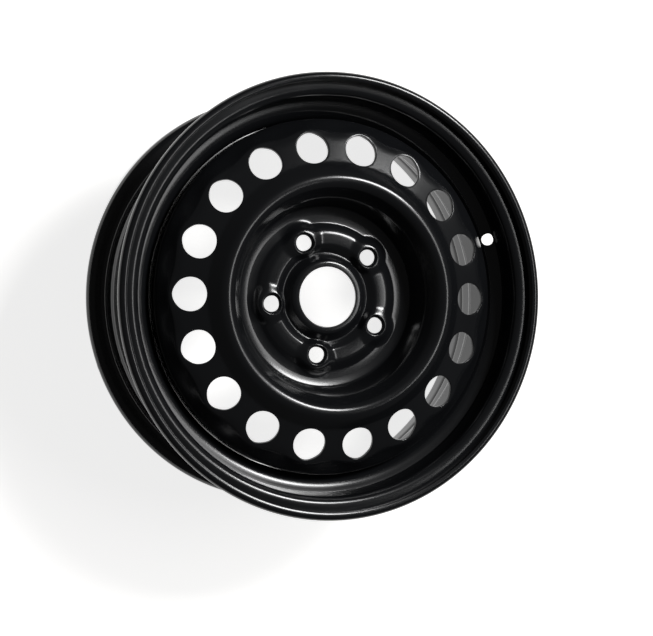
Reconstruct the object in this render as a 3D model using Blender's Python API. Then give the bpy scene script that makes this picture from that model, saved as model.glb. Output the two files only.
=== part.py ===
"""Pressed steel wheel, 5 1/2 J x 15, five bolts, lying on its inboard lip with the outboard face up.

Two pressings joined by weld beads: a rolled rim with J flanges, humps and a drop centre, and a
disc with a centre bore, ball-seat bolt holes, a bowl, a crown and a ring of round vents. Metres,
+Z outboard, origin on the axis at the plane that the inboard lip stands on, +X through the
vent next to the valve hole.
"""
import math

import bmesh
import bpy
from mathutils import Matrix, Vector

MM = 0.001

# Rim, millimetres
RIM_WIDTH = 139.7  # between the tyre sides of the flange walls, 5.5 inches
SEAT_RADIUS = 190.1  # bead seat where it meets the flange wall, 15 inches
SEAT_TAPER = math.radians(5.0)
SEAT_LENGTH = 21.5
FLANGE_HEIGHT = 17.3
FLANGE_RADIUS = 9.5  # tyre side of the curl
FLANGE_REACH = 13.0  # from the wall to the end of the lip
FLANGE_FOOT_RADIUS = 6.5
RIM_SHEET = 3.0
HUMP_HEIGHT = 1.5
HUMP_LENGTH = 7.0
WELL_DEPTH = 17.9  # of the drop centre under the bead seat
WELL_LENGTH = 24.0
WELL_BEND = 7.0
FRONT_SLOPE = math.radians(47.0)  # of the well's outboard flank, from the axis
REAR_SLOPE = math.radians(45.0)
STEP_DEPTH = 4.3  # under the bead seat, where the well's inboard flank meets the ledge
VALVE_HOLE = 11.5
VALVE_INSET = 5.5  # from the top of the well's outboard flank to the middle of the valve hole
VALVE_ANGLE = math.radians(-0.6)  # of the valve hole, from the middle of the vent beside it

# Disc, millimetres
OFFSET = 35.0  # mounting face outboard of the rim's mid-plane
DISC_SHEET = 3.5
BORE = 57.1
BORE_LIP_RADIUS = 34.0
BORE_LIP_RISE = 8.0  # face of the lip over the contact rings
BOLTS = 5
BOLT_CIRCLE = 112.0
BOLT_HOLE = 15.2
BOLT_ANGLE = math.radians(23.5)  # of the first bolt, from the middle of the first vent
BALL_RADIUS = 13.0  # of the ball seat
BALL_DEPTH = 2.2  # of the seat in the boss
BOSS_RADIUS = 9.5  # of the boss raised round a bolt hole
BOSS_SLOPE = 12.0  # width of the slope round a boss
BOSS_INNER_SLOPE = 6.0  # width of that slope towards the bore
BOSS_RISE = 7.6  # boss over the contact rings
RIDGE_FOOT = 42.0  # inner contact ring, where the ridge between the bosses starts
RIDGE_CREST = 55.5
RIDGE_TOP = 5.0  # half the width of the ridge's flat top
RIDGE_RISE = 5.0  # crest of the ridge over the contact rings
RIDGE_SHOULDER = 66.5
SHOULDER_RISE = 2.6
VALLEY_START = 71.0  # outer contact ring, flat on both faces
VALLEY_END = 78.0
LEDGE_RADIUS = 86.5  # foot of the bowl's wall
LEDGE_RISE = 2.0
BOWL_TOP_RADIUS = 93.0
BOWL_TOP_RISE = 26.5
CROWN_RADIUS = 106.0
CROWN_PEAK = 46.5  # where the crown's two flanks would meet
CROWN_BEND = 10.0
GROOVE_RADIUS = 124.5
VENTS = 18
VENT_CIRCLE = 279.8
VENT_HOLE = 31.0
VENT_RISE = 27.4  # of the vent band at the vent circle, over the contact rings
VENT_TILT = math.radians(15.0)
BAND_INSET = 11.0  # from the skirt to the outer edge of the vent band beside a vent
BAND_DROP = 3.5  # how much nearer the axis that edge is between two vents
DISC_FLANK = math.radians(48.0)  # fall from the band's edge to the skirt
EDGE_BEND = 5.0  # at both ends of that fall
SKIRT_END = 19.0  # inboard of the mounting face

# Joint, millimetres
FIT = 0.3  # air between the disc's skirt and the rim, and round each weld bead
WELD_BEADS = 8
WELD_LEG = 5.0
WELD_SPAN = math.radians(22.0)
WELD_END = 0.5  # size of a bead at its ends, as a share of its middle
WELD_SECTION = [(0.0, 0.0), (-0.65, 0.0), (-0.5, -0.65), (0.0, -1.0)]  # in legs
WELD_STEPS = 6

# Facets
RIM_STEPS = 48
DISC_STEPS = 90
WIDE_BEND = 6.0  # bends of a larger radius take two facets, and the others one
CURL_STEPS = 2  # of each flange's curl, from its top to its wall
VENT_STEPS = 14
BOLT_STEPS = 14
CUT_REACH = 14.0  # of a cutter to each side of the sheet
SEAT_BRIM = 0.3  # of a ball seat's cutter over the boss

# Derived, millimetres
MID_PLANE = FLANGE_REACH + RIM_WIDTH / 2
FRONT_WALL = MID_PLANE + RIM_WIDTH / 2
REAR_WALL = MID_PLANE - RIM_WIDTH / 2
MOUNT_PLANE = MID_PLANE + OFFSET
CONTACT = MOUNT_PLANE + DISC_SHEET
WELL_RADIUS = SEAT_RADIUS - WELL_DEPTH
STEP_RADIUS = SEAT_RADIUS - STEP_DEPTH
FLANK_RADIUS = SEAT_RADIUS - SEAT_LENGTH * math.tan(SEAT_TAPER) - HUMP_HEIGHT / 2
FLANK_PLANE = FRONT_WALL - SEAT_LENGTH - HUMP_LENGTH  # top of the well's outboard flank
WELL_INSIDE = (WELL_RADIUS - RIM_SHEET) * math.cos(math.pi / RIM_STEPS)
SKIRT_RADIUS = WELL_INSIDE - FIT
BAND_EDGE = SKIRT_RADIUS - BAND_INSET
SKIRT_PLANE = MOUNT_PLANE - SKIRT_END
BAND_FALL = math.tan(VENT_TILT)


def material(name, colour, roughness):
    made = bpy.data.materials.new(name)
    made.use_nodes = True
    shader = made.node_tree.nodes["Principled BSDF"]
    shader.inputs["Base Color"].default_value = (*colour, 1.0)
    shader.inputs["Metallic"].default_value = 0.0
    shader.inputs["Roughness"].default_value = roughness
    made.diffuse_color = (*colour, 1.0)
    return made


def place(name, mesh, finish):
    """One named object in the scene, shaded smooth but for its sharp edges."""
    mesh.name = name
    mesh.materials.append(finish)
    mesh.shade_smooth()
    mesh.set_sharp_from_angle(angle=math.radians(35.0))
    made = bpy.data.objects.new(name, mesh)
    bpy.context.scene.collection.objects.link(made)
    return made


def as_cutter(made):
    made.hide_render = True
    made.display_type = "WIRE"
    return made


def cut(target, cutter):
    cutting = target.modifiers.new(cutter.name, "BOOLEAN")
    cutting.operation = "DIFFERENCE"
    cutting.solver = "EXACT"
    cutting.object = cutter


def bend(before, corner, after, radius, steps):
    """The corner of a path as an arc of the given radius, tangent to both of its sides."""
    to_before = (before - corner).normalized()
    to_after = (after - corner).normalized()
    half = to_before.angle(to_after) / 2
    reach = min(
        radius / math.tan(half),
        0.48 * (before - corner).length,
        0.48 * (after - corner).length,
    )
    centre = corner + (to_before + to_after).normalized() * (reach / math.cos(half))
    start = corner + to_before * reach - centre
    sweep = math.pi - 2 * half
    if start.cross(corner + to_after * reach - centre) < 0:
        sweep = -sweep
    turns = [Matrix.Rotation(sweep * i / steps, 2) for i in range(steps + 1)]
    return [centre + turn @ start for turn in turns]


def rounded(path):
    """A path of (radius, height, bend radius) corners, with each corner that has one bent."""
    corners = [Vector(point[:2]) for point in path]
    points = [corners[0]]
    for i in range(1, len(path) - 1):
        radius = path[i][2]
        if radius > 0:
            steps = 2 if radius > WIDE_BEND else 1
            points += bend(corners[i - 1], corners[i], corners[i + 1], radius, steps)
        else:
            points.append(corners[i])
    return points + [corners[-1]]


def beside(points, distance):
    """The path moved sideways, to its left, by the same wall everywhere."""
    moved = []
    for i, point in enumerate(points):
        before = (point - points[i - 1]).normalized() if i else None
        after = (points[i + 1] - point).normalized() if i + 1 < len(points) else None
        first = before or after
        second = after or before
        along = (first + second).normalized()
        side = Vector((-along.y, along.x))
        moved.append(point + side * (distance / max(along.dot(second), 0.5)))
    return moved


def revolved(name, section, steps, finish):
    """A closed section of (radius, height) points in millimetres, turned about Z."""
    mesh = bpy.data.meshes.new(name)
    points = [(point.x * MM, 0.0, point.y * MM) for point in section]
    count = len(points)
    mesh.from_pydata(points, [(i, (i + 1) % count) for i in range(count)], [])
    made = place(name, mesh, finish)
    turn = made.modifiers.new("turn", "SCREW")
    turn.axis = "Z"
    turn.angle = math.tau
    turn.steps = steps
    turn.render_steps = steps
    turn.use_smooth_shade = True
    turn.use_merge_vertices = False
    return made


def flange(wall, outward):
    """Tyre side of one flange, from the end of its lip to the foot of its wall."""
    top = SEAT_RADIUS + FLANGE_HEIGHT
    centre = Vector((top - FLANGE_RADIUS, wall + outward * FLANGE_RADIUS))
    past_top = math.asin((FLANGE_REACH - FLANGE_RADIUS) / FLANGE_RADIUS)
    angles = [past_top] + [-math.pi / 2 * i / CURL_STEPS for i in range(CURL_STEPS + 1)]
    reaches = [Vector((math.cos(angle), outward * math.sin(angle))) for angle in angles]
    return [centre + reach * FLANGE_RADIUS for reach in reaches]


def seat_side(wall, outward):
    """Foot of the flange, bead seat and hump, going away from the flange."""
    fall = math.tan(SEAT_TAPER)
    seat_end = SEAT_RADIUS - SEAT_LENGTH * fall
    hump_middle = SEAT_LENGTH + HUMP_LENGTH / 2
    hump_end = SEAT_LENGTH + HUMP_LENGTH
    return [
        (SEAT_RADIUS, wall, FLANGE_FOOT_RADIUS),
        (seat_end, wall - outward * SEAT_LENGTH, 0.0),
        (seat_end + HUMP_HEIGHT, wall - outward * hump_middle, 0.0),
        (seat_end - HUMP_HEIGHT / 2, wall - outward * hump_end, 0.0),
    ]


def rim_path():
    """Tyre side of the rim, from the outboard lip to the inboard one."""
    front = seat_side(FRONT_WALL, 1)
    rear = seat_side(REAR_WALL, -1)
    well_front = FLANK_PLANE - (FLANK_RADIUS - WELL_RADIUS) / math.tan(FRONT_SLOPE)
    well_rear = well_front - WELL_LENGTH
    step_plane = well_rear - (STEP_RADIUS - WELL_RADIUS) / math.tan(REAR_SLOPE)
    front_curl = flange(FRONT_WALL, 1)
    rear_curl = flange(REAR_WALL, -1)
    middle = [
        (*front_curl[-1], 0.0),
        *front,
        (WELL_RADIUS, well_front, WELL_BEND),
        (WELL_RADIUS, well_rear, WELL_BEND),
        (STEP_RADIUS, step_plane, 0.0),
        *reversed(rear),
        (*rear_curl[-1], 0.0),
    ]
    return front_curl[:-1] + rounded(middle) + rear_curl[-2::-1]


def make_rim(finish):
    tyre_side = rim_path()
    inside = beside(tyre_side, -RIM_SHEET)
    rim = revolved("rim", tyre_side + inside[::-1], RIM_STEPS, finish)
    rim.modifiers.new("closed", "WELD").merge_threshold = 0.00001
    return rim


def smooth(low, high, value):
    """0 below low, 1 above high, and an S-curve between."""
    share = min(max((value - low) / (high - low), 0.0), 1.0)
    return share * share * (3 - 2 * share)


def disc_path():
    """Outboard face of the disc through the ridge, as (radius, rise over the contact rings)."""
    groove_rise = VENT_RISE + (VENT_CIRCLE / 2 - GROOVE_RADIUS) * BAND_FALL
    edge_rise = VENT_RISE - (BAND_EDGE - VENT_CIRCLE / 2) * BAND_FALL
    skirt_rise = edge_rise - (SKIRT_RADIUS - BAND_EDGE) * math.tan(DISC_FLANK)
    corners = [
        (BORE / 2, BORE_LIP_RISE, 0.0),
        (BORE_LIP_RADIUS, BORE_LIP_RISE, 0.0),
        (RIDGE_FOOT, 0.0, 0.0),
        (RIDGE_CREST - RIDGE_TOP, RIDGE_RISE, 0.0),
        (RIDGE_CREST + RIDGE_TOP, RIDGE_RISE, 0.0),
        (RIDGE_SHOULDER, SHOULDER_RISE, 0.0),
        (VALLEY_START, 0.0, 0.0),
        (VALLEY_END, 0.0, 0.0),
        (LEDGE_RADIUS, LEDGE_RISE, 0.0),
        (BOWL_TOP_RADIUS, BOWL_TOP_RISE, 0.0),
        (CROWN_RADIUS, CROWN_PEAK, CROWN_BEND),
        (GROOVE_RADIUS, groove_rise, 0.0),
        (BAND_EDGE, edge_rise, EDGE_BEND),
        (SKIRT_RADIUS, skirt_rise, EDGE_BEND),
        (SKIRT_RADIUS, SKIRT_PLANE - CONTACT, 0.0),
    ]
    return rounded(corners)


def boss_share(radius, angle):
    """1 on a nut seat's boss, 0 on the ridge between, and an S-curve round the boss."""
    turn = math.tau / BOLTS
    nearest = (angle - BOLT_ANGLE + turn / 2) % turn - turn / 2
    across = radius * math.sin(nearest)
    beyond = radius * math.cos(nearest) - BOLT_CIRCLE / 2
    away = math.hypot(across, beyond)
    inward = max(-beyond / away, 0.0)
    slope = BOSS_SLOPE - (BOSS_SLOPE - BOSS_INNER_SLOPE) * inward
    return 1 - smooth(BOSS_RADIUS, BOSS_RADIUS + slope, away)


def pressed(point, angle):
    """A point of the disc's path at one angle, with the bosses and the scalloped vent band."""
    radius, rise = point
    if RIDGE_FOOT < radius < LEDGE_RADIUS:
        rise += (BOSS_RISE - rise) * boss_share(radius, angle)
    start, end = VENT_CIRCLE / 2, SKIRT_RADIUS
    if start < radius < end:
        between = (1 - math.cos(VENTS * angle)) / 2
        hump = math.sin(math.pi * (radius - start) / (end - start)) ** 2
        radius -= BAND_DROP * between * hump
    return radius, rise


def disc_grid():
    """The outboard face as a mesh, ring by ring."""
    path = disc_path()
    mesh = bmesh.new()
    rings = []
    for point in path:
        ring = []
        for i in range(DISC_STEPS):
            angle = math.tau * i / DISC_STEPS
            radius, rise = pressed(point, angle)
            spot = (radius * math.cos(angle), radius * math.sin(angle), CONTACT + rise)
            ring.append(mesh.verts.new(Vector(spot) * MM))
        rings.append(ring)
    for near, far in zip(rings, rings[1:]):
        for i in range(DISC_STEPS):
            after = (i + 1) % DISC_STEPS
            mesh.faces.new((near[i], far[i], far[after], near[after]))
    grid = bpy.data.meshes.new("disc")
    mesh.to_mesh(grid)
    mesh.free()
    return grid


def drill(name, profile, steps, finish, where):
    """A turned cutter from a list of (radius, height) points on its outer side, top first."""
    body = bmesh.new()
    top = body.verts.new((0.0, 0.0, profile[0][1] * MM))
    bottom = body.verts.new((0.0, 0.0, profile[-1][1] * MM))
    rings = []
    for radius, height in profile:
        ring = []
        for i in range(steps):
            angle = math.tau * (i + 0.5) / steps
            spot = Vector((radius * math.cos(angle), radius * math.sin(angle), height))
            ring.append(body.verts.new(spot * MM))
        rings.append(ring)
    for i in range(steps):
        after = (i + 1) % steps
        body.faces.new((top, rings[0][i], rings[0][after]))
        for upper, lower in zip(rings, rings[1:]):
            body.faces.new((upper[i], lower[i], lower[after], upper[after]))
        body.faces.new((bottom, rings[-1][after], rings[-1][i]))
    body.transform(where)
    mesh = bpy.data.meshes.new(name)
    body.to_mesh(mesh)
    body.free()
    return as_cutter(place(name, mesh, finish))


def at(angle, radius, height, tilt):
    """A frame at a place on the wheel, its Z leaning outward from the axis by the tilt."""
    turn = Matrix.Rotation(angle, 4, "Z")
    shift = Matrix.Translation(Vector((radius, 0.0, height)) * MM)
    return turn @ shift @ Matrix.Rotation(tilt, 4, "Y")


def seat_profile():
    """Ball seat and bolt hole, from above the boss to below the sheet."""
    throat = BOLT_HOLE / 2
    centre = math.sqrt(BALL_RADIUS**2 - throat**2) - BALL_DEPTH
    brim = math.sqrt(BALL_RADIUS**2 - (centre - SEAT_BRIM) ** 2)
    return [(brim, CUT_REACH), (brim, SEAT_BRIM), (throat, -BALL_DEPTH), (throat, -CUT_REACH)]


def make_disc(finish):
    disc = place("disc", disc_grid(), finish)
    wall = disc.modifiers.new("sheet", "SOLIDIFY")
    wall.thickness = DISC_SHEET * MM
    wall.offset = -1.0
    wall.use_even_offset = True
    for i in range(BOLTS):
        angle = BOLT_ANGLE + math.tau * i / BOLTS
        where = at(angle, BOLT_CIRCLE / 2, CONTACT + BOSS_RISE, 0.0)
        cut(disc, drill(f"bolt_cutter_{i + 1}", seat_profile(), BOLT_STEPS, finish, where))
    vent = [(VENT_HOLE / 2, CUT_REACH), (VENT_HOLE / 2, -CUT_REACH)]
    for i in range(VENTS):
        angle = math.tau * i / VENTS
        where = at(angle, VENT_CIRCLE / 2, CONTACT + VENT_RISE, VENT_TILT)
        cut(disc, drill(f"vent_cutter_{i + 1}", vent, VENT_STEPS, finish, where))
    return disc


def make_bead(index, finish):
    """One weld bead in the corner between the skirt's inboard edge and the well."""
    top = SKIRT_PLANE - FIT
    body = bmesh.new()
    rings = []
    for i in range(WELD_STEPS + 1):
        share = i / WELD_STEPS
        angle = math.tau * index / WELD_BEADS + WELD_SPAN * (share - 0.5)
        size = WELD_LEG * (WELD_END + (1 - WELD_END) * math.sin(math.pi * share) ** 0.5)
        ring = []
        for x, y in WELD_SECTION:
            radius = SKIRT_RADIUS + size * x
            spot = Vector((radius * math.cos(angle), radius * math.sin(angle), top + size * y))
            ring.append(body.verts.new(spot * MM))
        rings.append(ring)
    count = len(WELD_SECTION)
    for near, far in zip(rings, rings[1:]):
        for i in range(count):
            after = (i + 1) % count
            body.faces.new((near[i], near[after], far[after], far[i]))
    body.faces.new(rings[0][::-1])
    body.faces.new(rings[-1])
    mesh = bpy.data.meshes.new(f"weld_bead_{index + 1}")
    bmesh.ops.recalc_face_normals(body, faces=body.faces)
    body.to_mesh(mesh)
    body.free()
    return place(f"weld_bead_{index + 1}", mesh, finish)


def valve_cutter(finish):
    """A drill square to the well's outboard flank."""
    radius = FLANK_RADIUS - VALVE_INSET * math.sin(FRONT_SLOPE)
    height = FLANK_PLANE - VALVE_INSET * math.cos(FRONT_SLOPE)
    where = at(VALVE_ANGLE, radius, height, FRONT_SLOPE - math.pi / 2)
    profile = [(VALVE_HOLE / 2, CUT_REACH), (VALVE_HOLE / 2, -CUT_REACH)]
    return drill("valve_cutter", profile, BOLT_STEPS, finish, where)


def main():
    for old in list(bpy.data.objects):
        bpy.data.objects.remove(old, do_unlink=True)
    enamel = material("black_e_coat", (0.012, 0.012, 0.013), 0.3)
    rim = make_rim(enamel)
    cut(rim, valve_cutter(enamel))
    make_disc(enamel)
    for index in range(WELD_BEADS):
        make_bead(index, enamel)


main()
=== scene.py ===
"""Steel wheel rim, dressed for its portrait: the two pressings as smooth sheets under a black dip coat, the weld
beads, a pale floor and soft lamps. Millimetres inside the shape functions, metres in the meshes."""
import math

import bpy
import numpy as np
from mathutils import Matrix, Vector


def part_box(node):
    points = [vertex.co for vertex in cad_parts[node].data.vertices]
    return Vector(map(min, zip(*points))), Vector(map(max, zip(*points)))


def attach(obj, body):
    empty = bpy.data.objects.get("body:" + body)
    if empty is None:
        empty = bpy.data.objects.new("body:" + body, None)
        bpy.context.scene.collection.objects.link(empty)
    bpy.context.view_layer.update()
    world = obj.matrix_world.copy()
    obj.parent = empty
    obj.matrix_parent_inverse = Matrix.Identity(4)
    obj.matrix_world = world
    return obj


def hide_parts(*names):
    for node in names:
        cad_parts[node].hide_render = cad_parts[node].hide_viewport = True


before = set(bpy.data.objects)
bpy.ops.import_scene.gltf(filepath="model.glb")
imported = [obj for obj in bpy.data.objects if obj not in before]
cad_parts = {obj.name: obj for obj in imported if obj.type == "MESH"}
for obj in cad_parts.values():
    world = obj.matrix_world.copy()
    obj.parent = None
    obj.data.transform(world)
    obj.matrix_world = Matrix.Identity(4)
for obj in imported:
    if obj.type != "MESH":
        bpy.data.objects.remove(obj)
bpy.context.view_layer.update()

bl_info = {
    "name": "Steel wheel rim",
    "version": (1, 0, 0),
    "blender": (4, 5, 0),
    "location": "3D View > Sidebar > Wheel",
    "description": "A pressed steel wheel with its rim, disc, weld beads and studio",
    "category": "Object",
}

MM = 0.001
RIM_ROUNDS, DISC_ROUNDS = 336, 360  # places round the axis at which each section stands
RIM_ROWS, DISC_ROWS = 132, 100  # points along each section
SEAM_ANGLE = math.pi  # of the rim's butt weld, opposite the valve hole
SEAM_REACH = 2.4  # how far from its middle the butt weld's ridge falls to 1 / e
VENTS, BOLTS, BEADS = 18, 5, 8


class RimSizes(bpy.types.PropertyGroup):
    """Sizes of the rolled rim, in millimetres but for its slopes."""
    width: bpy.props.FloatProperty(
        name="Width", description="Between the tyre sides of the flange walls", default=139.7, min=1.0,
    )
    seat: bpy.props.FloatProperty(
        name="Seat radius", description="Bead seat where it meets the flange wall", default=190.1, min=1.0,
    )
    taper: bpy.props.FloatProperty(
        name="Seat taper", description="Of the bead seat", default=math.radians(5.0), subtype="ANGLE",
    )
    seat_length: bpy.props.FloatProperty(name="Seat length", description="Along the axis", default=21.5, min=1.0)
    flange_height: bpy.props.FloatProperty(
        name="Flange height", description="Top of the flange over the seat", default=17.3, min=1.0,
    )
    lip_bend: bpy.props.FloatProperty(
        name="Lip bend", description="Radius of the tyre side where the lip curls over", default=4.85, min=1.0,
    )
    flange_reach: bpy.props.FloatProperty(
        name="Flange reach", description="From the flange wall to the end of the lip", default=13.0, min=1.0,
    )
    flange_foot: bpy.props.FloatProperty(
        name="Flange foot", description="Radius between wall and seat", default=6.5, min=0.1,
    )
    sheet: bpy.props.FloatProperty(name="Sheet", description="Thickness of the rim", default=3.0, min=0.1)
    hump: bpy.props.FloatProperty(name="Hump height", description="Over the end of the seat", default=1.5, min=0.0)
    hump_length: bpy.props.FloatProperty(name="Hump length", description="Along the axis", default=7.0, min=0.1)
    well: bpy.props.FloatProperty(
        name="Well radius", description="Tyre side of the drop centre", default=172.2, min=1.0,
    )
    well_length: bpy.props.FloatProperty(name="Well length", description="Along the axis", default=35.3, min=1.0)
    front_bend: bpy.props.FloatProperty(
        name="Outboard bend", description="Radius of the well's outboard corner", default=12.5, min=0.1,
    )
    rear_bend: bpy.props.FloatProperty(
        name="Inboard bend", description="Radius of the well's inboard corner", default=7.0, min=0.1,
    )
    front_slope: bpy.props.FloatProperty(
        name="Outboard flank", description="Slope of the well from the axis",
        default=math.radians(79.0), subtype="ANGLE",
    )
    rear_slope: bpy.props.FloatProperty(
        name="Inboard flank", description="Slope of the well from the axis",
        default=math.radians(45.0), subtype="ANGLE",
    )
    step: bpy.props.FloatProperty(
        name="Step radius", description="Where the inboard flank ends", default=185.8, min=1.0,
    )
    valve: bpy.props.FloatProperty(name="Valve hole", description="Diameter", default=11.5, min=0.1)
    valve_inset: bpy.props.FloatProperty(
        name="Valve inset", description="Valve hole's middle from the end of the hump", default=1.2,
    )
    valve_turn: bpy.props.FloatProperty(
        name="Valve turn", description="Valve hole from the middle of the nearest vent",
        default=math.radians(-0.6), subtype="ANGLE",
    )
    seam: bpy.props.FloatProperty(
        name="Seam height", description="Of the rim's butt weld over the sheet", default=0.2, min=0.0,
    )


class DiscSizes(bpy.types.PropertyGroup):
    """Sizes of the pressed disc, in millimetres but for its slopes."""
    offset: bpy.props.FloatProperty(
        name="Offset", description="Mounting face outboard of the rim's middle", default=35.0,
    )
    sheet: bpy.props.FloatProperty(name="Sheet", description="Thickness of the disc", default=3.5, min=0.1)
    bore: bpy.props.FloatProperty(name="Bore", description="Diameter of the centre hole", default=57.1, min=1.0)
    bolt_circle: bpy.props.FloatProperty(name="Bolt circle", description="Diameter", default=112.0, min=1.0)
    bolt_hole: bpy.props.FloatProperty(name="Bolt hole", description="Diameter", default=15.2, min=1.0)
    ball: bpy.props.FloatProperty(name="Ball radius", description="Of the nut seats", default=13.0, min=1.0)
    ball_depth: bpy.props.FloatProperty(name="Ball depth", description="Of the nut seats", default=2.2, min=0.1)
    first_bolt: bpy.props.FloatProperty(
        name="Bolt turn", description="First bolt hole from the middle of the vent at the valve",
        default=math.radians(23.5), subtype="ANGLE",
    )
    boss: bpy.props.FloatProperty(
        name="Boss radius", description="Of the raised pad round a bolt hole", default=9.5, min=0.1,
    )
    boss_rise: bpy.props.FloatProperty(
        name="Boss height", description="Of that pad over the mounting face", default=7.6,
    )
    vent_circle: bpy.props.FloatProperty(name="Vent circle", description="Diameter", default=279.8, min=1.0)
    vent: bpy.props.FloatProperty(name="Vent hole", description="Diameter", default=31.0, min=1.0)
    vent_rise: bpy.props.FloatProperty(
        name="Vent height", description="Of the vent circle over the mounting face", default=27.4,
    )
    vent_tilt: bpy.props.FloatProperty(
        name="Vent tilt", description="Of the vent band from square to the axis",
        default=math.radians(15.0), subtype="ANGLE",
    )
    band_edge: bpy.props.FloatProperty(
        name="Band edge", description="Radius where the vent band turns down", default=157.5, min=1.0,
    )
    scallop: bpy.props.FloatProperty(
        name="Scallop", description="How far that edge is drawn in between the vents", default=3.5,
    )
    skirt: bpy.props.FloatProperty(
        name="Skirt radius", description="Of the skirt's outer face", default=168.6, min=1.0,
    )
    skirt_end: bpy.props.FloatProperty(
        name="Skirt end", description="Inboard of the mounting face", default=22.5, min=0.1,
    )


class WeldSizes(bpy.types.PropertyGroup):
    """Sizes of the weld beads, in millimetres but for their span."""
    leg: bpy.props.FloatProperty(name="Leg", description="Of the fillet at its middle", default=5.0, min=0.1)
    span: bpy.props.FloatProperty(
        name="Span", description="Of one bead round the axis", default=math.radians(22.0), subtype="ANGLE",
    )
    narrow: bpy.props.FloatProperty(
        name="Narrowing", description="Of the leg on the well's side", default=0.65, min=0.1,
    )
    ripple: bpy.props.FloatProperty(name="Ripple", description="Spacing of the ripples", default=1.6, min=0.1)
    ripple_rise: bpy.props.FloatProperty(name="Ripple height", description="Of the ripples", default=0.144, min=0.0)


class CoatLook(bpy.types.PropertyGroup):
    """Colour and gloss of the coat."""
    colour: bpy.props.StringProperty(name="Coat", description="sRGB hex of the black dip coat", default="#111214")
    drawn: bpy.props.StringProperty(
        name="Drawn coat", description="sRGB hex where the sheet was drawn", default="#17181A",
    )
    roughness: bpy.props.FloatProperty(
        name="Roughness", description="Of the coat on the pressings", default=0.18, subtype="FACTOR",
    )
    weld_roughness: bpy.props.FloatProperty(
        name="Weld roughness", description="Of the coat on the weld beads", default=0.38, subtype="FACTOR",
    )


class StudioLook(bpy.types.PropertyGroup):
    """Floor, lamps and camera."""
    floor: bpy.props.StringProperty(name="Floor", description="sRGB hex of the floor", default="#F2F0EC")
    reach: bpy.props.FloatProperty(
        name="Floor reach", description="From the wheel to the floor's edge", default=30.0, unit="LENGTH",
    )
    focal: bpy.props.FloatProperty(
        name="Lens", description="Focal length on a 36 mm sensor", default=72.09, subtype="DISTANCE_CAMERA",
    )
    yaw: bpy.props.FloatProperty(
        name="Yaw", description="Of the wheel from the line of sight", default=math.radians(20.393), subtype="ANGLE",
    )
    pitch: bpy.props.FloatProperty(
        name="Pitch", description="Of the wheel from the line of sight",
        default=math.radians(-0.092), subtype="ANGLE",
    )
    roll: bpy.props.FloatProperty(
        name="Roll", description="Of the picture's right from the valve hole",
        default=math.radians(-19.37), subtype="ANGLE",
    )


def linear(code):
    """An sRGB hex colour as linear RGBA: each channel c is c / 12.92 up to 0.04045, and else
    ((c + 0.055) / 1.055) to the power 2.4."""
    channels = [int(code[i:i + 2], 16) / 255 for i in (1, 3, 5)]
    return tuple(c / 12.92 if c <= 0.04045 else ((c + 0.055) / 1.055) ** 2.4 for c in channels) + (1.0,)


def add(tree, kind, inputs=(), **settings):
    """Adds one node with its settings. Each input is a number, a colour or another node's socket."""
    made = tree.nodes.new(kind)
    for name, value in settings.items():
        setattr(made, name, value)
    for name, value in dict(inputs).items():
        if isinstance(value, bpy.types.NodeSocket):
            tree.links.new(value, made.inputs[name])
        else:
            made.inputs[name].default_value = value
    return made


def bent(corners):
    """A path of (radius, height, bend) corners as rows of (length, radius, height, turn so far). Between corners it is
    straight. Each bend is an arc tangent to both of its sides, whose points are the two end radii weighted by the sines
    of the angles to the other end."""
    spots = np.array([corner[:2] for corner in corners], float)
    bends = [corner[2] for corner in corners]
    points = [spots[:1]]
    for before, corner, after, bend in zip(spots, spots[1:], spots[2:], bends[1:]):
        back, ahead = before - corner, after - corner
        room = min(np.hypot(*back), np.hypot(*ahead)) * 0.49
        back, ahead = back / np.hypot(*back), ahead / np.hypot(*ahead)
        half = math.acos(np.clip(back @ ahead, -1, 1)) / 2
        if bend <= 0 or half > math.radians(89.9):
            points.append(corner[None])
            continue
        reach = min(bend / math.tan(half), room)
        middle = (back + ahead) / np.hypot(*(back + ahead))
        centre = corner + middle * reach / math.cos(half)
        sweep = math.pi - 2 * half
        share = np.linspace(0, 1, 2 + int(sweep / math.radians(1.5)))[:, None]
        start, end = corner + back * reach - centre, corner + ahead * reach - centre
        points.append(centre + (start * np.sin((1 - share) * sweep) + end * np.sin(share * sweep)) / math.sin(sweep))
    points.append(spots[-1:])
    path = np.concatenate(points)
    steps = np.diff(path, axis=0)
    length = np.concatenate([[0], np.cumsum(np.hypot(*steps.T))])
    heading = np.unwrap(np.arctan2(steps[:, 1], steps[:, 0]))
    turn = np.concatenate([[0], np.cumsum(np.abs(np.diff(heading))), [0]])
    turn[-1] = turn[-2]
    return np.column_stack([length, path, turn])


def along(path, s, column):
    """The path's radius (1), height (2) or turn (3) at length s."""
    return np.interp(s, path[:, 0], path[:, column])


def stations(path, count, straight, curved, ends):
    """Lengths along the path at which its points stand, evenly spaced in length / straight + turn / curved."""
    cost = path[:, 0] / straight + path[:, 3] / curved
    first, last = np.interp([ends, path[-1, 0] - ends], path[:, 0], cost)
    return np.interp(np.linspace(first, last, count), cost, path[:, 0])


def sheet_point(face, s, angle, depth):
    """A point of a sheet: its place on the pressed face at path length s and angle, moved into the sheet along the
    face's normal by depth. The normal is the cross product of the face's slopes along s and round the axis."""
    nudge, turn = 0.2, 0.001
    ahead = face(s + nudge, angle) - face(s - nudge, angle)
    round_axis = face(s, angle + turn) - face(s, angle - turn)
    normal = np.cross(ahead, round_axis)
    normal /= np.linalg.norm(normal, axis=-1, keepdims=True)
    return face(s, angle) - normal * np.asarray(depth)[..., None]


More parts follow.
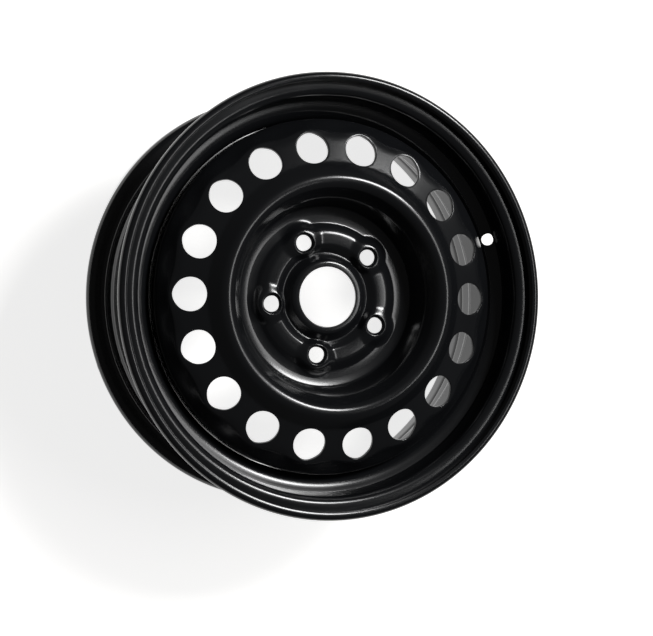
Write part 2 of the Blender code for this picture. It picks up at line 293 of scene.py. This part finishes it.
def edge_round(radius, sheet, steps=4):
    """A sheet's cut edge from its face to its back, as (overhang, depth): two quarter circles and the cut between."""
    turn = np.linspace(0, math.pi / 2, steps)
    over = radius * (1 - np.sin(turn))
    down = radius * (1 - np.cos(turn))
    return np.concatenate([np.column_stack([over, down]), np.column_stack([over[::-1], sheet - down[::-1]])])


def quads(first, second):
    """Faces between two closed rows of vertex numbers, that turn the same way."""
    return np.stack([first, second, np.roll(second, -1, -1), np.roll(first, -1, -1)], -1).reshape(-1, 4)


def pressed_sheet(name, face, path, rows, angles, sheet, edge, holes):
    """A closed sheet with holes. Its rows go along the face, round the end of the path, back along the other side and
    round the start. Each hole is (length, angle, [(radius, depth), ...], reach, half angle): a window that reaches this
    far along the path and round the axis is left out of both sides of the grid, and rings run from the window's edge in
    to the hole, through it and out to the window behind."""
    lip = edge_round(edge, sheet)
    total = path[-1, 0]
    s_rows = np.concatenate([rows, total - lip[:, 0], rows[::-1], lip[::-1, 0]])
    depth_rows = np.concatenate([0 * rows, lip[:, 1], 0 * rows + sheet, lip[::-1, 1]])
    s, angle = np.broadcast_arrays(s_rows[:, None], angles[None, :])
    vertices = [sheet_point(face, s, angle, np.broadcast_to(depth_rows[:, None], s.shape)).reshape(-1, 3)]
    number = np.arange(s.size).reshape(s.shape)
    back = 2 * len(rows) + len(lip) - 1 - np.arange(len(rows))
    cells = np.ones(s.shape, bool)
    faces = []
    used = s.size
    for middle, turn, profile, reach, half in holes:
        low, high = np.searchsorted(rows, [middle - reach, middle + reach])
        off = (angles - turn + math.pi) % math.tau - math.pi
        columns = np.flatnonzero(np.abs(off) <= half + 1e-6)
        columns = columns[np.argsort(off[columns])]
        side = np.arange(low, high + 1)
        loop_row = np.concatenate([0 * columns[:-1] + low, side[:-1], 0 * columns[:0:-1] + high, side[:0:-1]])
        loop_column = np.concatenate(
            [columns[:-1], 0 * side[:-1] + columns[-1], columns[:0:-1], 0 * side[:0:-1] + columns[0]]
        )
        cells[np.ix_(side[:-1], columns[:-1])] = False
        cells[np.ix_(back[side[1:]], columns[:-1])] = False
        window_s, window_angle = rows[loop_row], off[loop_column]
        bearing = np.arctan2(window_angle * along(path, middle, 1), window_s - middle)
        rings = []
        for radius, depth in profile:
            ring_s = middle + radius * np.cos(bearing)
            rings.append((ring_s, radius * np.sin(bearing) / along(path, ring_s, 1), depth))
        blend = np.linspace(0, 1, 7)[1:-1]
        first, last = rings[0], rings[-1]
        into = [(window_s * (1 - b) + first[0] * b, window_angle * (1 - b) + first[1] * b, 0.0) for b in blend]
        out = [(last[0] * (1 - b) + window_s * b, last[1] * (1 - b) + window_angle * b, sheet) for b in blend]
        every = into + rings + out
        ring_s = np.array([ring[0] for ring in every])
        ring_angle = np.array([ring[1] for ring in every]) + turn
        ring_depth = np.broadcast_to(np.array([ring[2] for ring in every])[:, None], ring_s.shape)
        vertices.append(sheet_point(face, ring_s, ring_angle, ring_depth).reshape(-1, 3))
        numbers = used + np.arange(ring_s.size).reshape(ring_s.shape)
        used += ring_s.size
        face_loop, back_loop = number[loop_row, loop_column], number[back[loop_row], loop_column]
        chain = np.concatenate([face_loop[None], numbers, back_loop[None]])
        faces.append(quads(chain[:-1], chain[1:]))
    below = np.roll(number, -1, 0)
    grid = np.stack([number, below, np.roll(below, -1, 1), np.roll(number, -1, 1)], -1)[cells]
    faces.insert(0, grid.reshape(-1, 4))
    return make_mesh(name, np.concatenate(vertices), np.concatenate(faces))


def make_mesh(name, points, faces):
    """A smooth mesh object at the origin, from points in millimetres. Points that no face uses are left out."""
    used, faces = np.unique(faces, return_inverse=True)
    faces = faces.reshape(-1, 4)
    points = points[used] * MM
    mesh = bpy.data.meshes.new(name)
    mesh.vertices.add(len(points))
    mesh.vertices.foreach_set("co", points.astype(np.float32).ravel())
    mesh.loops.add(faces.size)
    mesh.loops.foreach_set("vertex_index", faces.ravel().astype(np.int32))
    mesh.polygons.add(len(faces))
    mesh.polygons.foreach_set("loop_start", np.arange(0, faces.size, 4, dtype=np.int32))
    mesh.update(calc_edges=True)
    mesh.validate()
    mesh.shade_smooth()
    made = bpy.data.objects.new(name, mesh)
    bpy.context.scene.collection.objects.link(made)
    return made


def step_up(low, high, value):
    """0 below low, 1 above high, and the S-curve 3x2 - 2x3 between."""
    share = np.clip((value - low) / (high - low), 0, 1)
    return share * share * (3 - 2 * share)


def rim_middle(size):
    """Height of the rim's middle plane over its inboard lip."""
    return size.flange_reach + size.width / 2


def rim_path(size):
    """The rim's tyre side from the outboard lip to the inboard one: lip, wall, seat, hump, well, ledge, hump, seat,
    wall, lip. Each flange is two arcs that meet at its top: a wide one from the wall, and the lip's, which ends 45
    degrees past the foremost point. The well's outboard corner bends so widely that it is two corners, of half the
    turn each: with t the flank's slope and r the bend, each stands r (tan t/2 - tan t/4) from where the well's floor
    and its flank would meet."""
    top = size.seat + size.flange_height
    seat_end = size.seat - size.seat_length * math.tan(size.taper)
    hump_middle = size.seat_length + size.hump_length / 2
    hump_end = size.seat_length + size.hump_length
    middle = rim_middle(size)
    wide = size.flange_reach - size.lip_bend

    def side(wall, outward):
        curled = [
            (top - bend + bend * math.cos(a), wall + outward * (wide + bend * math.sin(a)), 0.0)
            for bend, first, last in ((size.lip_bend, 0.75, 0.01), (wide, 0.0, -0.5))
            for a in np.linspace(first, last, 40) * math.pi
        ]
        return curled + [
            (size.seat, wall, size.flange_foot),
            (seat_end, wall - outward * size.seat_length, 12.0),
            (seat_end + size.hump, wall - outward * hump_middle, 5.0),
            (seat_end - size.hump / 2, wall - outward * hump_end, 4.5),
        ]

    front = side(middle + size.width / 2, 1)
    rear = side(middle - size.width / 2, -1)
    flank_top, flank_plane = front[-1][:2]
    slope = size.front_slope
    well_front = flank_plane - (flank_top - size.well) / math.tan(slope)
    well_rear = well_front - size.well_length
    step_plane = well_rear - (size.step - size.well) / math.tan(size.rear_slope)
    apart = size.front_bend * (math.tan(slope / 2) - math.tan(slope / 4))
    drop_centre = [
        (size.well + apart * math.sin(slope), well_front + apart * math.cos(slope), size.front_bend),
        (size.well, well_front - apart, size.front_bend),
        (size.well, well_rear, size.rear_bend),
        (size.step, step_plane, 8.0),
    ]
    return bent(front + drop_centre + rear[::-1])


def make_rim(size, coat):
    """The rim: its path turned about the axis, with the planished ridge of its butt weld raised by exp(-x2) of the
    distance from its middle, and the valve hole square to the well's outboard flank."""
    path = rim_path(size)

    def face(s, angle):
        radius, height = along(path, s, 1), along(path, s, 2)
        off_seam = (angle - SEAM_ANGLE) * radius
        radius = radius + size.seam * np.exp(-((off_seam / SEAM_REACH) ** 2))
        return np.stack(np.broadcast_arrays(radius * np.cos(angle), radius * np.sin(angle), height), -1)

    even = np.linspace(0, math.tau, RIM_ROUNDS, endpoint=False)
    near_seam = SEAM_ANGLE + np.linspace(-0.05, 0.05, 21)
    angles = np.sort(np.unique(np.round(np.concatenate([even[np.abs(even - SEAM_ANGLE) > 0.055], near_seam]), 7)))
    hump_end = size.seat_length + size.hump_length
    valve_plane = rim_middle(size) + size.width / 2 - hump_end - size.valve_inset
    inboard_half = path[:, 0] > path[-1, 0] / 2
    spot = np.argmin(np.abs(path[:, 2] - valve_plane) + inboard_half * 1e3)
    flank = path[spot - 3:spot + 4]
    valve_s = float(np.interp(-valve_plane, -flank[:, 2], flank[:, 0]))
    profile = [(size.valve / 2 + over, depth) for over, depth in edge_round(0.5, size.sheet)]
    rows = stations(path, RIM_ROWS, 3.0, 0.16, 0.9)
    valve_hole = (valve_s, size.valve_turn, profile, 9.0, 0.058)
    rim = pressed_sheet("rim_rolled", face, path, rows, angles, size.sheet, 0.9, [valve_hole])
    finish_piece(rim, coat, "rim")


def disc_path(size, contact):
    """The disc's outboard face through the ridge between two bolts, from the bore to the inboard edge of the skirt.
    The corners are given as radius, height over the mounting face's outboard side, and bend."""
    groove = 124.5
    band_fall = math.tan(size.vent_tilt)
    groove_rise = size.vent_rise + (size.vent_circle / 2 - groove) * band_fall
    edge_rise = size.vent_rise - (size.band_edge - size.vent_circle / 2) * band_fall
    skirt_rise = edge_rise - (size.skirt - size.band_edge) * math.tan(math.radians(48.0))
    corners = [
        (size.bore / 2, 8.0, 0.0),  # raised lip of the bore
        (34.0, 8.0, 6.0),
        (41.5, 0.0, 3.0),  # valley round it
        (43.0, 0.0, 3.0),
        (50.0, 5.0, 5.0),  # ridge between the bolts
        (61.5, 5.0, 12.0),
        (66.5, 2.6, 5.0),  # shoulder
        (70.5, 0.0, 4.5),  # floor of the bowl
        (78.0, 0.0, 4.5),
        (86.5, 2.0, 4.5),  # ledge
        (93.0, 26.5, 9.0),  # wall of the bowl
        (106.0, 46.5, 10.0),  # crown
        (groove, groove_rise, 4.5),
        (size.band_edge, edge_rise, 7.0),
        (size.skirt, skirt_rise, 8.0),
        (size.skirt, -size.skirt_end, 0.0),
    ]
    return bent([(radius, rise + contact, bend) for radius, rise, bend in corners])


def nut_seat(size):
    """A bolt hole from face to back as (radius, depth): the ball seat, whose depth is the root of ball2 - radius2 less
    the depth of the ball's centre, then the straight throat and its eased back edge."""
    throat = size.bolt_hole / 2
    centre = math.sqrt(size.ball**2 - throat**2) - size.ball_depth
    brim = math.sqrt(size.ball**2 - centre**2)
    bowl = [(r, math.sqrt(size.ball**2 - r**2) - centre) for r in np.linspace(brim, throat + 0.9, 7)]
    return [
        (brim + 0.5, 0.0),
        *bowl,
        (throat + 0.3, size.ball_depth - 0.1),
        (throat, size.ball_depth + 0.5),
        (throat, size.sheet - 0.4),
        (throat + 0.4, size.sheet),
    ]


def make_disc(size, middle, coat):
    """The disc: its path turned about the axis. Round each bolt hole the ridge swells into a raised pad, whose flank is
    an S-curve that is steeper on the side of the bore. Between the vents the outer edge of their band is drawn in, by
    sin2 across the bend and (1 - cos) / 2 round the axis."""
    contact = middle + size.offset + size.sheet
    path = disc_path(size, contact)
    turn = math.tau / BOLTS
    bend_start = size.vent_circle / 2 + size.vent / 4

    def face(s, angle):
        radius, height = np.broadcast_arrays(along(path, s, 1), along(path, s, 2), angle)[:2]
        rise = height - contact
        nearest = (angle - size.first_bolt + turn / 2) % turn - turn / 2
        across, beyond = radius * np.sin(nearest), radius * np.cos(nearest) - size.bolt_circle / 2
        away = np.hypot(across, beyond)
        inward = np.clip(-beyond / np.maximum(away, 1.0), 0, 1)
        pad = 1 - step_up(0, 1, (away - size.boss) / (12.0 - 6.0 * inward))
        rise = rise + (size.boss_rise - rise) * pad
        between = (1 - np.cos(VENTS * angle)) / 2
        bend = np.sin(math.pi * np.clip((radius - bend_start) / (size.skirt - bend_start), 0, 1)) ** 2
        radius = radius - size.scallop * between * bend
        return np.stack([radius * np.cos(angle), radius * np.sin(angle), contact + rise], -1)

    vent_s, bolt_s = np.interp([size.vent_circle / 2, size.bolt_circle / 2], path[:, 1], path[:, 0])
    vent = [(size.vent / 2 + over, depth) for over, depth in edge_round(0.5, size.sheet)]
    seat = nut_seat(size)
    holes = [(vent_s, math.tau * i / VENTS, vent, 19.0, math.radians(9.0)) for i in range(VENTS)]
    holes += [(bolt_s, size.first_bolt + turn * i, seat, 13.0, math.radians(13.0)) for i in range(BOLTS)]
    angles = np.linspace(0, math.tau, DISC_ROUNDS, endpoint=False)
    rows = stations(path, DISC_ROWS, 2.6, 0.13, 0.9)
    disc = pressed_sheet("disc_pressed", face, path, rows, angles, size.sheet, 0.7, holes)
    finish_piece(disc, coat, "disc")


def make_bead(index, size, skirt, coat):
    """One weld bead: a fillet carried along the corner between the skirt and the well. Its leg shrinks to round ends by
    a low power of a sine, its face bulges by the sine of twice the lean across it, and ripples trail back from the
    face's middle."""
    node = f"weld_bead_{index + 1}"
    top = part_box(node)[1].z / MM
    along_bead, across = np.meshgrid(np.linspace(0, 1, 120), np.linspace(0, 1, 15), indexing="ij")
    turn = math.tau * index / BEADS + size.span * (along_bead - 0.5)
    leg = size.leg * (0.35 + 0.65 * np.sin(math.pi * along_bead) ** 0.35)
    lean = across * math.pi / 2
    bulge = np.sin(2 * lean)
    laid = along_bead * size.span * skirt
    ripple = size.ripple_rise * np.sin(math.tau * (laid - 1.8 * bulge) / size.ripple) * bulge
    swell = leg / (np.cos(lean) + np.sin(lean)) * (1 + 0.18 * bulge) + ripple
    radius = skirt - size.narrow * swell * np.cos(lean)
    height = top - swell * np.sin(lean)
    face = np.stack([radius * np.cos(turn), radius * np.sin(turn), height], -1)
    root = np.stack([skirt * np.cos(turn[:, :1]), skirt * np.sin(turn[:, :1]), top + 0 * turn[:, :1]], -1)
    section = np.concatenate([face, root], 1)
    length, count = section.shape[:2]
    number = np.arange(length * count).reshape(length, count)
    beside = np.roll(number, -1, 1)
    walls = np.stack([number[:-1], beside[:-1], beside[1:], number[1:]], -1).reshape(-1, 4)
    half = np.arange(count // 2)
    caps = []
    for end, order in ((0, 1), (-1, -1)):
        left, right = number[end][half], number[end][count - 1 - half]
        cap = np.stack([left[:-1], left[1:], right[1:], right[:-1]], -1)
        caps.append(cap[:, ::-order])
    bead = make_mesh(f"bead_{index + 1}", section.reshape(-1, 3), np.concatenate([walls] + caps))
    finish_piece(bead, coat, node)


def finish_piece(piece, coat, node):
    """Gives a piece its coat, and puts it in place of its solid."""
    piece.data.materials.append(coat)
    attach(piece, "root")
    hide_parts(node)


def dip_coat(look):
    """Cathodic dip coat on pressed steel: a thin black paint, baked to a gloss between satin and full. It flows a
    little, which gives a faint orange peel about 2 mm wide, and it is slightly paler and duller in patches about 60 mm
    wide, where the sheet was drawn."""
    made = bpy.data.materials.new("dip coat satin black")
    made.use_nodes = True
    tree = made.node_tree
    shader = tree.nodes["Principled BSDF"]
    place = add(tree, "ShaderNodeTexCoord").outputs["Object"]
    drawn = add(tree, "ShaderNodeTexNoise", {"Vector": place, "Scale": 1 / 0.06, "Detail": 3.0})
    tone = add(tree, "ShaderNodeMix", {"Factor": drawn.outputs["Fac"]}, data_type="RGBA")
    tone.inputs["A"].default_value = linear(look.colour)
    tone.inputs["B"].default_value = linear(look.drawn)
    tree.links.new(tone.outputs["Result"], shader.inputs["Base Color"])
    dull = {"To Min": look.roughness - 0.04, "To Max": look.roughness + 0.05}
    gloss = add(tree, "ShaderNodeMapRange", {"Value": drawn.outputs["Fac"], **dull})
    tree.links.new(gloss.outputs["Result"], shader.inputs["Roughness"])
    peel = add(tree, "ShaderNodeTexNoise", {"Vector": place, "Scale": 1 / 0.002, "Detail": 1.0})
    bump = add(tree, "ShaderNodeBump", {"Height": peel.outputs["Fac"], "Strength": 0.25, "Distance": 0.00003})
    tree.links.new(bump.outputs["Normal"], shader.inputs["Normal"])
    return made


def weld_coat(look):
    """The same dip coat over a weld bead: duller, with spatter and scale about 0.6 mm wide under it."""
    made = bpy.data.materials.new("dip coat over weld")
    made.use_nodes = True
    tree = made.node_tree
    shader = tree.nodes["Principled BSDF"]
    shader.inputs["Base Color"].default_value = linear("#18191A")
    place = add(tree, "ShaderNodeTexCoord").outputs["Object"]
    scale = add(tree, "ShaderNodeTexNoise", {"Vector": place, "Scale": 1 / 0.0006, "Detail": 2.0})
    dull = {"To Min": look.weld_roughness - 0.08, "To Max": look.weld_roughness + 0.1}
    gloss = add(tree, "ShaderNodeMapRange", {"Value": scale.outputs["Fac"], **dull})
    tree.links.new(gloss.outputs["Result"], shader.inputs["Roughness"])
    bump = add(tree, "ShaderNodeBump", {"Height": scale.outputs["Fac"], "Strength": 0.5, "Distance": 0.0001})
    tree.links.new(bump.outputs["Normal"], shader.inputs["Normal"])
    return made


def pale_floor(look):
    """Matt paper sweep. In the coat it shows as white. To the camera it glows a little less than white and the lamps
    add the rest, so the wheel's shadow stays on it as a pale grey."""
    made = bpy.data.materials.new("paper sweep")
    made.use_nodes = True
    tree = made.node_tree
    tree.nodes.clear()
    ray = add(tree, "ShaderNodeLightPath").outputs
    seen = add(tree, "ShaderNodeMath", {0: ray["Is Camera Ray"], 1: 0.8}, operation="MULTIPLY")
    both_rays = {0: ray["Is Glossy Ray"], 1: ray["Is Transmission Ray"]}
    mirrored = add(tree, "ShaderNodeMath", both_rays, operation="MAXIMUM")
    level = add(tree, "ShaderNodeMath", {0: seen.outputs[0], 1: mirrored.outputs[0]}, operation="MAXIMUM")
    paper = add(tree, "ShaderNodeBsdfDiffuse", {"Color": linear(look.floor)})
    glow = add(tree, "ShaderNodeEmission", {"Color": linear("#FFFFFF"), "Strength": level.outputs[0]})
    both = add(tree, "ShaderNodeAddShader", {0: paper.outputs[0], 1: glow.outputs[0]})
    add(tree, "ShaderNodeOutputMaterial", {"Surface": both.outputs[0]})
    return made


HUB_IN_VIEW = np.array([0.567, -20.084, 1241.6])  # millimetres right, down and away from the camera
HUB_ON_AXIS = np.array([0.0, 0.0, 126.3])  # the same spot in the wheel's frame


def picture_axes(look):
    """The picture's right and its up in the wheel's plane, for a wheel seen along its axis."""
    roll = look.roll
    return np.array([math.cos(roll), math.sin(roll), 0.0]), np.array([-math.sin(roll), math.cos(roll), 0.0])


def view_axes(look):
    """The camera's right, down and line of sight as columns in the wheel's frame, and the camera's place in metres,
    from the wheel's yaw and pitch to the line of sight, its roll and the place of its hub in the picture."""
    yaw, pitch = look.yaw, look.pitch
    sight = np.array([math.sin(yaw) * math.cos(pitch), -math.sin(pitch), -math.cos(yaw) * math.cos(pitch)])
    right = np.array([math.cos(yaw), 0.0, math.sin(yaw)])
    unrolled = np.column_stack([right, np.cross(sight, right), sight])
    rolled = np.column_stack([*picture_axes(look), (0.0, 0.0, 1.0)])
    axes = rolled @ unrolled.T
    return axes, (HUB_ON_AXIS - axes @ HUB_IN_VIEW) * MM


def add_camera(look):
    """The camera, on the solved line of sight."""
    axes, place = view_axes(look)
    lens = bpy.data.cameras.new("portrait")
    lens.sensor_width = 36.0
    lens.lens = look.focal
    camera = bpy.data.objects.new("portrait", lens)
    turn = Matrix(np.column_stack([axes[:, 0], -axes[:, 1], -axes[:, 2]]).tolist()).to_4x4()
    camera.matrix_world = Matrix.Translation(Vector(place)) @ turn
    bpy.context.scene.collection.objects.link(camera)
    bpy.context.scene.camera = camera


LAMPS = [  # name, way to it, metres away, width and height in metres, degrees of lean, watts
    ("key", (0.472, 0.43, 0.77), 1.9, 0.55, 0.42, 18.0, 24.0),
    ("strip", (0.52, 0.12, 0.84), 1.9, 0.36, 1.1, 0.0, 6.0),
]
AIM = Vector((0.0, 0.0, 0.12))  # what the lamps point at


def add_lamps(look):
    """Soft boxes. The way to each is given as the picture's right, the picture's up and the wheel's axis, and its
    height runs along the picture's up or leans from there to the right."""
    right, up = picture_axes(look)
    for name, (x, y, z), distance, width, height, lean, power in LAMPS:
        way = Vector(right * x + up * y + np.array([0.0, 0.0, z])).normalized()
        lean = math.radians(lean)
        across = Vector(up * math.cos(lean) + right * math.sin(lean)).cross(way).normalized()
        light = bpy.data.lights.new(name, "AREA")
        light.shape = "RECTANGLE"
        light.size = width
        light.size_y = height
        light.energy = power
        lamp = bpy.data.objects.new(name, light)
        turn = Matrix((across, way.cross(across), way)).transposed().to_4x4()
        lamp.matrix_world = Matrix.Translation(way * distance + AIM) @ turn
        bpy.context.scene.collection.objects.link(lamp)


def add_world():
    """A plain studio: the same weak grey all round."""
    world = bpy.data.worlds.new("studio")
    world.use_nodes = True
    background = world.node_tree.nodes["Background"]
    background.inputs["Color"].default_value = linear("#FFFFFF")
    background.inputs["Strength"].default_value = 0.06
    bpy.context.scene.world = world


class WHEEL_OT_rim(bpy.types.Operator):
    """Make the rolled rim"""
    bl_idname = "wheel.rim"
    bl_label = "Rolled rim"

    def execute(self, context):
        make_rim(context.scene.wheel_rim, dip_coat(context.scene.wheel_coat))
        return {"FINISHED"}


class WHEEL_OT_disc(bpy.types.Operator):
    """Make the pressed disc"""
    bl_idname = "wheel.disc"
    bl_label = "Pressed disc"

    def execute(self, context):
        scene = context.scene
        make_disc(scene.wheel_disc, rim_middle(scene.wheel_rim), dip_coat(scene.wheel_coat))
        return {"FINISHED"}


class WHEEL_OT_welds(bpy.types.Operator):
    """Lay the weld beads"""
    bl_idname = "wheel.welds"
    bl_label = "Weld beads"

    def execute(self, context):
        scene = context.scene
        coat = weld_coat(scene.wheel_coat)
        for index in range(BEADS):
            make_bead(index, scene.wheel_weld, scene.wheel_disc.skirt, coat)
        return {"FINISHED"}


class WHEEL_OT_studio(bpy.types.Operator):
    """Lay the floor and place the lamps and the camera"""
    bl_idname = "wheel.studio"
    bl_label = "Studio"

    def execute(self, context):
        look = context.scene.wheel_studio
        far = look.reach
        mesh = bpy.data.meshes.new("floor")
        mesh.from_pydata([(-far, -far, 0), (far, -far, 0), (far, far, 0), (-far, far, 0)], [], [(0, 1, 2, 3)])
        floor = bpy.data.objects.new("floor", mesh)
        floor.data.materials.append(pale_floor(look))
        context.scene.collection.objects.link(floor)
        add_lamps(look)
        add_world()
        add_camera(look)
        context.scene.view_settings.view_transform = "Standard"
        return {"FINISHED"}


class WHEEL_PT_sidebar(bpy.types.Panel):
    """Sizes of the wheel and what makes it"""
    bl_label = "Steel wheel rim"
    bl_space_type = "VIEW_3D"
    bl_region_type = "UI"
    bl_category = "Wheel"

    def draw(self, context):
        groups = (
            ("wheel.rim", context.scene.wheel_rim),
            ("wheel.disc", context.scene.wheel_disc),
            ("wheel.welds", context.scene.wheel_weld),
            ("wheel.studio", context.scene.wheel_studio),
        )
        for operator, sizes in groups:
            box = self.layout.box()
            for name in sizes.__annotations__:
                box.prop(sizes, name)
            box.operator(operator)
        for name in context.scene.wheel_coat.__annotations__:
            self.layout.prop(context.scene.wheel_coat, name)


GROUPS = {
    "wheel_rim": RimSizes,
    "wheel_disc": DiscSizes,
    "wheel_weld": WeldSizes,
    "wheel_coat": CoatLook,
    "wheel_studio": StudioLook,
}
CLASSES = (*GROUPS.values(), WHEEL_OT_rim, WHEEL_OT_disc, WHEEL_OT_welds, WHEEL_OT_studio, WHEEL_PT_sidebar)


def register():
    for made in CLASSES:
        bpy.utils.register_class(made)
    for name, group in GROUPS.items():
        setattr(bpy.types.Scene, name, bpy.props.PointerProperty(type=group))


def unregister():
    for name in GROUPS:
        delattr(bpy.types.Scene, name)
    for made in reversed(CLASSES):
        bpy.utils.unregister_class(made)


def main():
    register()
    bpy.ops.wheel.rim()
    bpy.ops.wheel.disc()
    bpy.ops.wheel.welds()
    bpy.ops.wheel.studio()


if __name__ == "__main__":
    main()
